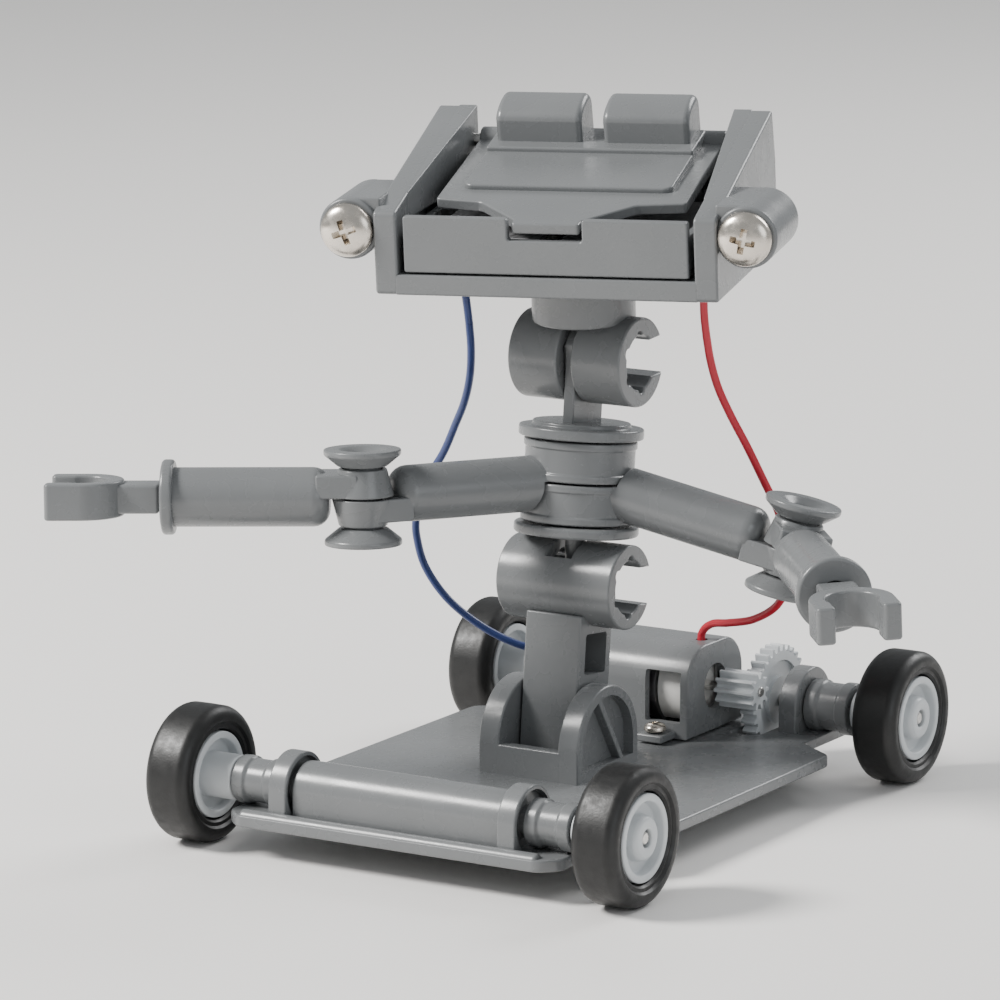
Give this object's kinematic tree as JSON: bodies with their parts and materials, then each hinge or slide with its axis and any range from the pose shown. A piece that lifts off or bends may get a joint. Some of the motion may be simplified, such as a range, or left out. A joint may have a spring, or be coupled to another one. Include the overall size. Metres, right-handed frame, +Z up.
{
  "type": "robot kit vehicle",
  "caption": "Small geared toy robot on wheels, with a tilting waist, jointed clip arms and a turning head that holds a lidded wet cell.",
  "frame": {"origin": "on the ground, under the middle of everything but the leads", "axes": "+X along the wheel axles, to the right of a viewer who faces the front; +Y towards the rear; +Z up"},
  "size_m": [0.1296, 0.102, 0.1042],
  "materials": {
    "grey_plastic": "cool mid grey moulded plastic, satin to semi-gloss",
    "pale_plastic": "pale grey moulded plastic, satin",
    "tyre_rubber": "black satin rubber",
    "white_plastic": "off-white moulded nylon",
    "axle_steel": "drawn bright steel",
    "screw_steel": "nickel plate",
    "motor_steel": "zinc plated pressed steel",
    "magnesium": "dull rolled magnesium sheet",
    "carbon": "matt black carbon-coated mesh",
    "felt": "undyed felt",
    "red_wire": "red flexible insulation",
    "blue_wire": "dark blue flexible insulation"
  },
  "bodies": {
    "chassis": {"chassis_plate": "grey_plastic", "front_axle_cover": "grey_plastic", "front_left_bush": "grey_plastic", "front_right_bush": "grey_plastic", "rear_left_bush": "grey_plastic", "rear_right_bush": "grey_plastic", "leg_column": "grey_plastic", "motor_can": "motor_steel", "motor_end_cap": "white_plastic", "front_motor_terminal": "motor_steel", "rear_motor_terminal": "motor_steel", "motor_cover": "grey_plastic", "cover_screw_left": "screw_steel", "cover_screw_right": "screw_steel", "red_lead_bottom": "red_wire", "blue_lead_bottom": "blue_wire"},
    "front_wheels": {"front_axle": "axle_steel", "front_left_tyre": "tyre_rubber", "front_left_rim": "pale_plastic", "front_right_tyre": "tyre_rubber", "front_right_rim": "pale_plastic"},
    "rear_wheels": {"rear_axle": "axle_steel", "driven_gear": "pale_plastic", "rear_left_tyre": "tyre_rubber", "rear_left_rim": "pale_plastic", "rear_right_tyre": "tyre_rubber", "rear_right_rim": "pale_plastic"},
    "motor_rotor": {"motor_shaft": "axle_steel", "motor_pinion": "pale_plastic"},
    "torso": {"waist_base": "grey_plastic", "waist_cap": "grey_plastic", "red_lead_middle": "red_wire", "blue_lead_middle": "blue_wire"},
    "left_shoulder": {"left_upper_arm": "grey_plastic", "left_elbow_pin": "grey_plastic"},
    "left_lower_arm": {"left_forearm": "grey_plastic"},
    "left_claw": {"left_hand": "grey_plastic"},
    "right_shoulder": {"right_upper_arm": "grey_plastic", "right_elbow_pin": "grey_plastic"},
    "right_lower_arm": {"right_forearm": "grey_plastic"},
    "right_claw": {"right_hand": "grey_plastic"},
    "neck": {"neck_bracket": "grey_plastic"},
    "head": {"head_frame": "grey_plastic", "cell_tray": "grey_plastic", "left_carbon_plate": "carbon", "left_felt_pad": "felt", "left_magnesium_plate": "magnesium", "right_carbon_plate": "carbon", "right_felt_pad": "felt", "right_magnesium_plate": "magnesium", "lid_hinge_pin": "axle_steel", "left_terminal_screw": "screw_steel", "right_terminal_screw": "screw_steel", "red_lead_top": "red_wire", "blue_lead_top": "blue_wire"},
    "lid": {"cell_lid": "grey_plastic"}
  },
  "joints": [
    {"name": "front_axle_spin", "type": "hinge", "parent": "chassis", "child": "front_wheels", "pos_m": [-0.00332, -0.041, 0.01], "axis": [1, 0, 0], "continuous": true},
    {"name": "rear_axle_spin", "type": "hinge", "parent": "chassis", "child": "rear_wheels", "pos_m": [-0.00332, 0.041, 0.01], "axis": [1, 0, 0], "continuous": true},
    {"name": "motor_spin", "type": "hinge", "parent": "chassis", "child": "motor_rotor", "pos_m": [0.00348, 0.03089, 0.0135], "axis": [1, 0, 0], "continuous": true},
    {"name": "hip_tilt", "type": "hinge", "parent": "chassis", "child": "torso", "pos_m": [-0.00332, 0.0044, 0.0336], "axis": [1, 0, 0], "range_deg": [-25, 25], "deforming": ["red_lead_bottom", "blue_lead_bottom"]},
    {"name": "left_shoulder_turn", "type": "hinge", "parent": "torso", "child": "left_shoulder", "pos_m": [-0.00332, 0.0044, 0.0336], "axis": [0, 0.1045, 0.9945], "range_deg": [-40, 40]},
    {"name": "left_elbow_turn", "type": "hinge", "parent": "left_shoulder", "child": "left_lower_arm", "pos_m": [-0.02182, -0.02374, 0.04913], "axis": [-0.037, 0.0454, 0.9983], "range_deg": [-48, 78]},
    {"name": "left_wrist_roll", "type": "hinge", "parent": "left_lower_arm", "child": "left_claw", "pos_m": [-0.04651, -0.03694, 0.04882], "axis": [-0.8818, -0.4714, -0.0112], "range_deg": [-90, 90]},
    {"name": "right_shoulder_turn", "type": "hinge", "parent": "torso", "child": "right_shoulder", "pos_m": [-0.00332, 0.0044, 0.0336], "axis": [0, 0.1045, 0.9945], "range_deg": [-70, 10]},
    {"name": "right_elbow_turn", "type": "hinge", "parent": "right_shoulder", "child": "right_lower_arm", "pos_m": [0.03085, 0.00884, 0.04145], "axis": [0.1898, 0.1224, 0.9742], "range_deg": [-23, 90]},
    {"name": "right_wrist_roll", "type": "hinge", "parent": "right_lower_arm", "child": "right_claw", "pos_m": [0.04892, -0.01253, 0.04062], "axis": [0.6456, -0.7631, -0.0298], "range_deg": [-90, 90]},
    {"name": "neck_tilt", "type": "hinge", "parent": "torso", "child": "neck", "pos_m": [-0.00332, 0.00785, 0.06642], "axis": [1, 0, 0], "range_deg": [-25, 25], "deforming": ["red_lead_middle", "blue_lead_middle"]},
    {"name": "head_turn", "type": "hinge", "parent": "neck", "child": "head", "pos_m": [-0.00332, 0.00785, 0.06642], "axis": [0, -0.0698, 0.9976], "range_deg": [-25, 25]},
    {"name": "lid_open", "type": "hinge", "parent": "head", "child": "lid", "pos_m": [-0.00722, 0.01986, 0.09633], "axis": [-0.9636, -0.2666, -0.0186], "range_deg": [0, 95]}
  ],
  "couplings": [
    {"joint": "motor_spin", "follows": "rear_axle_spin", "ratio": -3.2}
  ]
}
